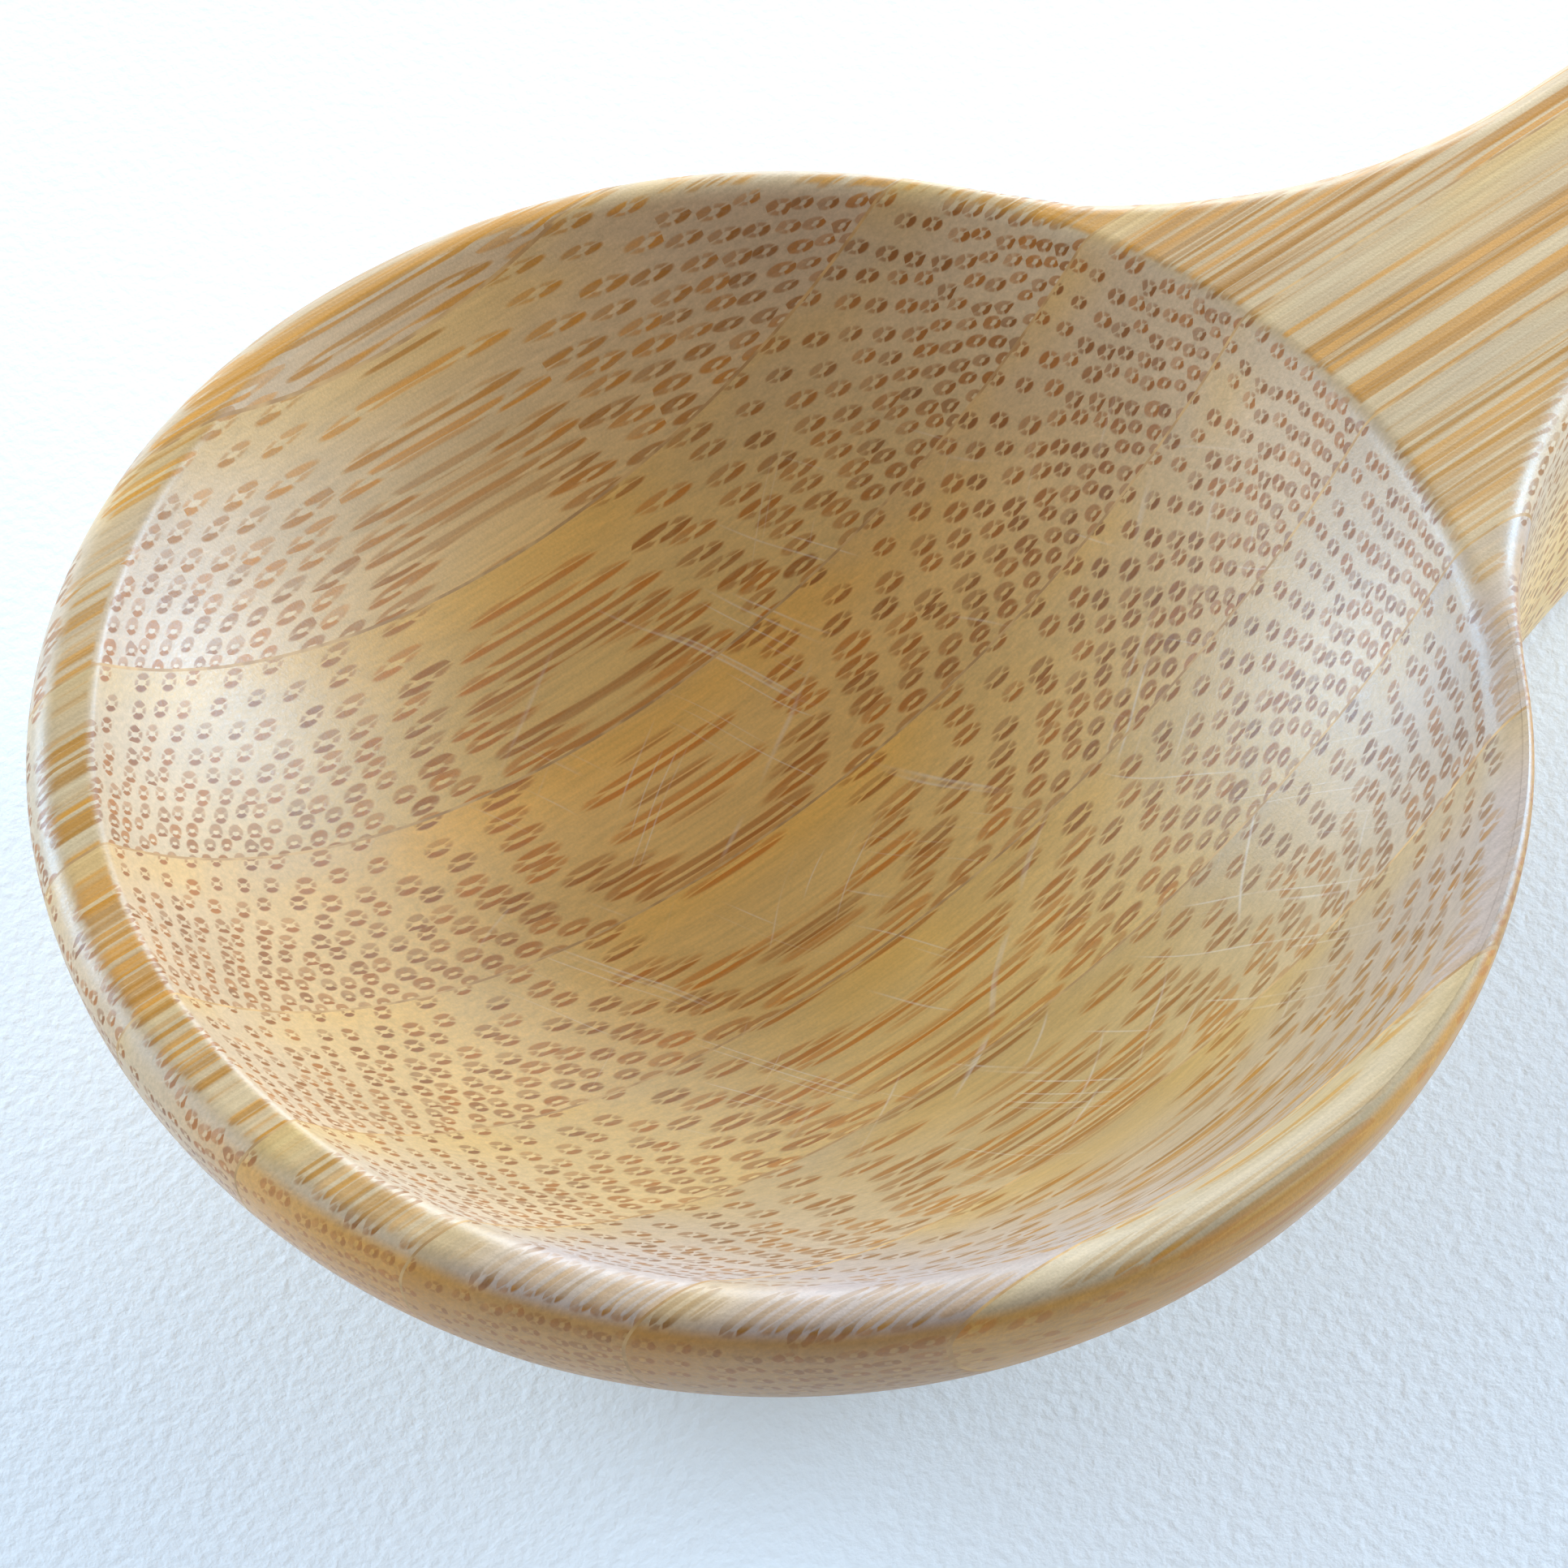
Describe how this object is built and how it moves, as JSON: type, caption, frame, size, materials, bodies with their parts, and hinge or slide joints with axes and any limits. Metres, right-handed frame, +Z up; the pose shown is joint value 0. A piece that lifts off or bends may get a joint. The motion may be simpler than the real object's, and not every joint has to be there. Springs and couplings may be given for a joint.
{
  "type": "coffee scoop",
  "caption": "Shallow round bowl with a level rim and a deep-necked straight handle, carved in one from a laminated bamboo billet; measures and lifts ground coffee.",
  "frame": {"origin": "middle of the sanded flat that the bowl stands on, under the middle of the bowl", "axes": "+X from the bowl along the handle to its end, +Y to the left of the handle, +Z up through the open bowl"},
  "size_m": [0.15, 0.0546, 0.017],
  "materials": {
    "bamboo_tan_pale": "satin, oiled",
    "bamboo_golden": "satin, oiled",
    "bamboo_cream": "satin, oiled",
    "cured_glue": "satin"
  },
  "bodies": {
    "root": {"strip_middle": "bamboo_tan_pale", "strip_left_1": "bamboo_golden", "strip_left_2": "bamboo_cream", "strip_left_3": "bamboo_tan_pale", "strip_left_4": "bamboo_golden", "strip_right_1": "bamboo_golden", "strip_right_2": "bamboo_cream", "strip_right_3": "bamboo_tan_pale", "strip_right_4": "bamboo_golden", "glue_left_1": "cured_glue", "glue_left_2": "cured_glue", "glue_left_3": "cured_glue", "glue_left_4": "cured_glue", "glue_right_1": "cured_glue", "glue_right_2": "cured_glue", "glue_right_3": "cured_glue", "glue_right_4": "cured_glue"}
  },
  "joints": []
}
